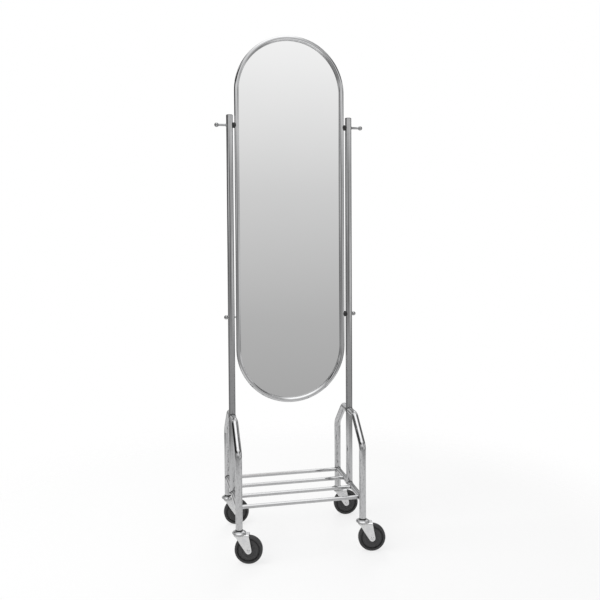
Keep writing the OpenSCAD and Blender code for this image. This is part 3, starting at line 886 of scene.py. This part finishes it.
def wheel_core():
    """The wheel's plastic: half width h(r) of hub, web and rim on both sides, with the web
    swelling into eight low ribs, rib_h (cos 4a)^8 high, between hub and rim."""
    rib_h, rib_from, rib_to, rib_fade = 0.8, 10.6, 21.2, 1.2
    sides = 128
    a = round_turn(sides)
    hub = [(6.05, 12.65), (8.6, 12.65), (9.3, 12.35), (9.5, 11.8), (9.7, 9.4), (10.4, 8.2), (11.2, 7.65)]
    web = [(13.0, 7.6), (16.0, 7.6), (18.5, 7.6), (20.0, 7.7), (20.8, 8.2), (21.4, 8.85)]
    rim = [(22.2, 9.0), (27.0, 9.0), (28.0, 8.8), (28.6, 8.6), (29.2, 8.9), (30.0, 9.0), (31.0, 9.0)]
    seat = [(31.6, 8.7), (32.2, 8.1), (34.0, 5.4), (36.0, 5.0)]
    r, h = np.array(hub + web + rim + seat).T
    on_web = np.clip((r - rib_from) / rib_fade, 0, 1) * np.clip((rib_to - r) / rib_fade, 0, 1)
    out = h[:, None] + on_web[:, None] * rib_h * np.cos(4 * a) ** 8
    x, y = np.outer(r, np.cos(a)), np.outer(r, np.sin(a))
    points = np.vstack([np.stack([x, y, out], -1), np.stack([x, y, -out], -1)[::-1]])
    return Shell(points, [net(len(points), sides, True, True)])


def there_and_back(half):
    """A profile that goes on from its last point as the mirror image of itself in h."""
    return half + [(r, -h) for r, h in half[::-1]]


# Race cover and socket under a leg, with heights from the seat between them.
RACE_COVER = [(5, 0), (13, 0), (13.8, -0.9), (16.6, -1.5), (19.5, -3.2), (21.9, -4.7), (22.5, -5.9),
              (22.1, -7.9), (20.5, -8.7), (19.5, -8.7), (19.5, -5.9), (18, -3.2), (5, -3.2)]
SOCKET = [(5.2, 0), (11.0, 0), (11.7, 0.3), (12.0, 0.9), (12.0, 3.2), (11.7, 3.8), (11.0, 4),
          (BORE_R, 4), (BORE_R, 40.5), (9.2, 42), (5.2, 42)]
# Half of a tyre, from its seat on the rim to its crown.
HALF_TYRE = [(36.0, 5.0), (36.6, 8.6), (37.6, 10.0), (39.0, 11.0), (41.6, 10.3), (43.6, 8.8), (44.6, 6.8),
             (AXLE_Z, 4.5)]
# Half of an axle pin: a riveted head, a low dome with a shallow dimple, and its shank.
RIVET = [(0, 1.65), (1.2, 1.7), (1.9, 2.1), (2.8, 2.2), (3.9, 2.0), (4.8, 1.5), (5.4, 0.8), (5.6, 0.3),
         (5.6, 0), (4.0, 0)]

race_cover = turned(rounded(lifted(RACE_COVER, CASTER_SEAT)), 96, True)
socket_liner = turned(lifted(SOCKET, CASTER_SEAT), 64, True)
tread = turned(rounded(there_and_back(HALF_TYRE)), 128, True)
axle_pin = turned(there_and_back(lifted(RIVET, FORK_HALF_W)), 48)


def dress(node, finish):
    """Gives a node of the frame another material."""
    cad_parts[node].data.materials.clear()
    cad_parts[node].data.materials.append(finish)


def caster(corner, side, end, turn):
    """The pieces of one caster, which trails along u and whose axle lies along v."""
    u = (cos(radians(turn)), sin(radians(turn)), 0)
    v = (-sin(radians(turn)), cos(radians(turn)), 0)
    leg = (side * POST_X, end * LEG_Y, 0)
    hub = (leg[0] + TRAIL * u[0], leg[1] + TRAIL * u[1], AXLE_Z)
    swivel, roller = corner + "_swivel", corner + "_roller"
    make_piece(corner + "_flange", [socket_liner.placed(leg).outward()], PLASTIC,
               [corner + "_socket"])
    make_piece(corner + "_dish", [race_cover.placed(leg).outward()], RACE,
               [corner + "_race"], crease=50)
    fork = make_piece(corner + "_fork_sheet", [fork_sheet().placed(leg, u, v, Z)], ZINC,
                      [corner + "_fork"], swivel)
    sheet = fork.modifiers.new("thickness", "SOLIDIFY")
    sheet.thickness, sheet.offset = FORK_SHEET * METRES, 0.0
    edges = fork.modifiers.new("edges", "BEVEL")
    edges.width, edges.segments = 0.5 * METRES, 2
    edges.limit_method, edges.angle_limit = "ANGLE", radians(50)
    make_piece(corner + "_axle_pin", [axle_pin.placed(hub, u, Z, v).outward()], STEEL,
               [corner + "_axle"], swivel, crease=50)
    make_piece(corner + "_wheel_core", [wheel_core().placed(hub, u, Z, v).outward()], WHEEL,
               [corner + "_wheel"], roller, crease=40)
    make_piece(corner + "_tread", [tread.placed(hub, u, Z, v).outward()], TYRE,
               [corner + "_tyre"], roller, crease=40)
    dress(corner + "_sleeve", BEARING)


for corner_name, setting in CASTERS.items():
    caster(corner_name, *setting)

dress("frame_inserts", PASSIVATED)
dress("caster_stems", STEEL)
dress("swivel_balls", BEARING)


# ---- Studio --------------------------------------------------------------------------------

# From here on, sizes are in metres. The metal and the glass show a round wall, whose bare
# brightness goes with the height above the floor:
WALL_RISE = {-7: 0.33, -3: 0.33, -1: 0.41, 0: 0.48, 1.5: 0.66, 3: 0.91, 3.5: 0.97, 8: 0.97}
WALL_LOW, WALL_HIGH, WALL_R = min(WALL_RISE), max(WALL_RISE), 6.0
# Cards and cloths in front of it, each laid over the ones before: middle and half width in
# degrees from the front (-Y) towards +X, lowest and highest point in metres, brightness.
CARDS = {
    "black cloth, left": (-100, 35, 0, 4.5, 0.0),
    "grey floor, left": (-120, 45, -8, 0.5, 0.25),
    "camera and its stand": (-20, 20, 0, 2.5, 0.2),
    "box over the camera": (-20, 10, 2, 3, 1.05),
    "grey wall, left": (-75, 25, 0, 2, 0.3),
    "window, left": (-60, 15, 1, 2, 0.75),
    "white card, right": (75, 25, 0, 2.5, 0.95),
    "black cloth, right": (100, 15, -1, 3.5, 0.0),
    "grey wall, rear right": (140, 25, -1, 3, 0.35),
    "bright floor, front": (0, 50, -8, -2, 1.2),
    "dark ceiling, right": (70, 50, 3.5, 6, 0.15),
    "dark ceiling, left": (-70, 40, 3.5, 6, 0.05),
    "box over the rear": (170, 20, 3.5, 8, 1.5),
    "dark corner, high left": (-110, 30, 6, 8, 0.05),
    "dark curtain, rear left": (-160, 15, 2.5, 8, 0.2),
    "beam, right": (45, 15, 2.5, 3, 0.05),
    "beam, high right": (85, 15, 6, 8, 0.0),
    "grey shelf, right": (50, 20, 1, 2, 0.45),
}
CARD_SIDE, CARD_END = 5.0, 0.4  # soft edges: degrees at the sides, metres at the ends
FLOOR_R, FLOOR_FADE = 1.65, (0.9, 1.6)  # radius, and where the floor fades out
SKY_LIGHT = 0.62  # on the object, where the camera sees 1
OVERHEAD = (0.07, -0.2, 0.977)  # towards the bright part of the sky
# Kinds of ray: what the camera sees, and what metal and glass show.
EYE = ("Is Camera Ray",)
METAL = ("Is Glossy Ray", "Is Transmission Ray")
# Camera: angles in radians from a level view along +Y, lens and sensor in millimetres.
CAMERA_PLACE = (-0.4872, -2.4067, 1.0553)
YAW, PITCH, ROLL = 0.2127, -0.0368, -0.0062
LENS, SENSOR, SHIFT_UP = 43.194, 36.0, -0.07


def stage_piece(name, points, faces, material):
    """Puts a piece of the studio into the scene, from points in metres."""
    mesh = bpy.data.meshes.new(name)
    mesh.from_pydata(points.tolist(), [], faces.tolist())
    mesh.materials.append(material)
    piece = bpy.data.objects.new(name, mesh)
    bpy.context.scene.collection.objects.link(piece)
    return piece


def floor_finish():
    """Pale floor with faint specks. To the camera it is mostly a white glow, over a lit part
    that shows the shadow, and to the metal mostly an even grey. It fades out at its rim."""
    white_share, grey_share, grey = 0.72, 0.7, 0.72
    look = Finish("pale_floor", Roughness=0.9, Specular_IOR_Level=0.1)
    speck = look.noise(look.space(), 40.0, 3.0)
    look.done(Base_Color=look.colour(speck, (0.80, 0.80, 0.80), (0.83, 0.83, 0.83)))
    eye, metal = look.rays(*EYE), look.rays(*METAL)
    pale = look.blend(white_share * eye, Value(look, look.shader.outputs[0]), look.glow((1, 1, 1)))
    pale = look.blend(grey_share * metal, pale, look.glow((grey, grey, grey)))
    place = look.add("ShaderNodeTexCoord", output="Object")
    reach = look.add("ShaderNodeVectorMath", {"operation": "LENGTH"}, {0: place}, "Value")
    return look.shown(look.blend(reach.rise(*FLOOR_FADE), pale, look.add("ShaderNodeBsdfTransparent")))


def wall_finish():
    """Brightness of the studio wall: its rise with the height, and the cards laid over it."""
    look = Finish("studio_wall")
    x, y, z = look.parts(look.add("ShaderNodeTexCoord", output="Object"))
    height = WALL_HIGH - WALL_LOW
    stops = [((level - WALL_LOW) / height, bright) for level, bright in WALL_RISE.items()]
    light = look.add("ShaderNodeValToRGB", {"stops": stops}, {0: (z - WALL_LOW) / height})
    round_way = x.maths("ARCTAN2", y * -1.0) * (180 / pi)
    for middle, half, low, high, level in CARDS.values():
        aside = (round_way - middle).maths("WRAP", 180.0, -180.0).maths("ABSOLUTE")
        share = 1 - aside.rise(half - CARD_SIDE, half + CARD_SIDE)
        share = share * z.rise(low - CARD_END, low + CARD_END)
        share = share * (1 - z.rise(high - CARD_END, high + CARD_END))
        light = light + (level - light) * share
    return look.shown(look.glow(light))


def light_sky():
    """Even light on the object and white to the camera. The metal sees it brighter round
    OVERHEAD, within some 20 to 38 degrees of it, and darker towards both sides."""
    world = bpy.data.worlds.new("studio")
    bpy.context.scene.world = world
    world.use_nodes = True
    look = Finish("sky", world.node_tree)
    way = look.add("ShaderNodeTexCoord", output="Generated")
    overhead = look.add("ShaderNodeVectorMath", {"operation": "DOT_PRODUCT"},
                        {0: way, 1: OVERHEAD}, "Value")
    across = look.parts(way)[0]
    shown = 1.0 + 0.65 * overhead.rise(cos(radians(38)), cos(radians(20)))
    shown = shown - 0.75 * (across * -1.0).rise(0.5, 0.72) - 0.9 * across.rise(0.2, 0.45)
    shown = shown.maths("MAXIMUM", 0.1)
    eye, metal = look.rays(*EYE), look.rays(*METAL)
    back = world.node_tree.nodes["Background"]
    look.feed(back.inputs["Strength"], SKY_LIGHT + (1 - SKY_LIGHT) * eye + (shown - SKY_LIGHT) * metal)
    look.feed(back.inputs["Color"], (1, 1, 1))


def soft_box(name, place, aim, size, power):
    """A rectangular lamp at place that faces aim, with its first side square to Y."""
    data = bpy.data.lights.new(name, "AREA")
    data.shape, data.size, data.size_y, data.energy = "RECTANGLE", size[0], size[1], power
    lamp = bpy.data.objects.new(name, data)
    lamp.location = place
    way = np.array(aim, float) - np.array(place, float)
    z = -way / np.linalg.norm(way)
    x = np.cross((0, 1, 0), z)
    x /= np.linalg.norm(x)
    lamp.rotation_euler = Matrix(np.stack([x, np.cross(z, x), z], 1).tolist()).to_euler()
    bpy.context.scene.collection.objects.link(lamp)
    lamp.visible_glossy = False


def aim_camera():
    """The photo's camera."""
    camera = bpy.data.objects.new("camera", bpy.data.cameras.new("camera"))
    bpy.context.scene.collection.objects.link(camera)
    ahead = np.array([sin(YAW) * cos(PITCH), cos(YAW) * cos(PITCH), sin(PITCH)])
    level = np.array([cos(YAW), -sin(YAW), 0.0])
    upright = np.cross(level, ahead)
    right = level * cos(ROLL) + upright * sin(ROLL)
    up = upright * cos(ROLL) - level * sin(ROLL)
    turn_and_place = np.column_stack([right, up, -ahead, CAMERA_PLACE])
    camera.matrix_world = Matrix(np.vstack([turn_and_place, [0, 0, 0, 1]]).tolist())
    camera.data.sensor_width, camera.data.lens, camera.data.shift_y = SENSOR, LENS, SHIFT_UP
    camera.data.clip_end = 60.0
    bpy.context.scene.camera = camera
    bpy.context.scene.view_settings.view_transform = "Standard"


def lay_floor():
    """A disc that is one flat face."""
    sides = 96
    points = swept([FLOOR_R], [0], round_turn(sides))[0]
    stage_piece("floor", points, np.arange(sides)[None, :], floor_finish())


def build_wall():
    """A tube round the object, which only metal and glass see."""
    rows, columns = 12, 97
    heights = np.linspace(WALL_LOW, WALL_HIGH, rows)
    points = swept(np.full(rows, WALL_R), heights, np.linspace(0, 2 * pi, columns)).reshape(-1, 3)
    wall = stage_piece("studio_wall", points, net(rows, columns), wall_finish())
    wall.visible_camera = wall.visible_diffuse = wall.visible_shadow = False


lay_floor()
build_wall()
light_sky()
soft_box("key", (-1.9, -0.3, 3.3), (0, 0, 0.5), (2.6, 1.8), 60)
soft_box("fill", (-2.2, -3.4, 2.4), (0, 0, 0.7), (1.2, 1.6), 30)
soft_box("rear", (0.9, 3.2, 3.0), (0, 0, 0.7), (1.8, 1.2), 40)
aim_camera()
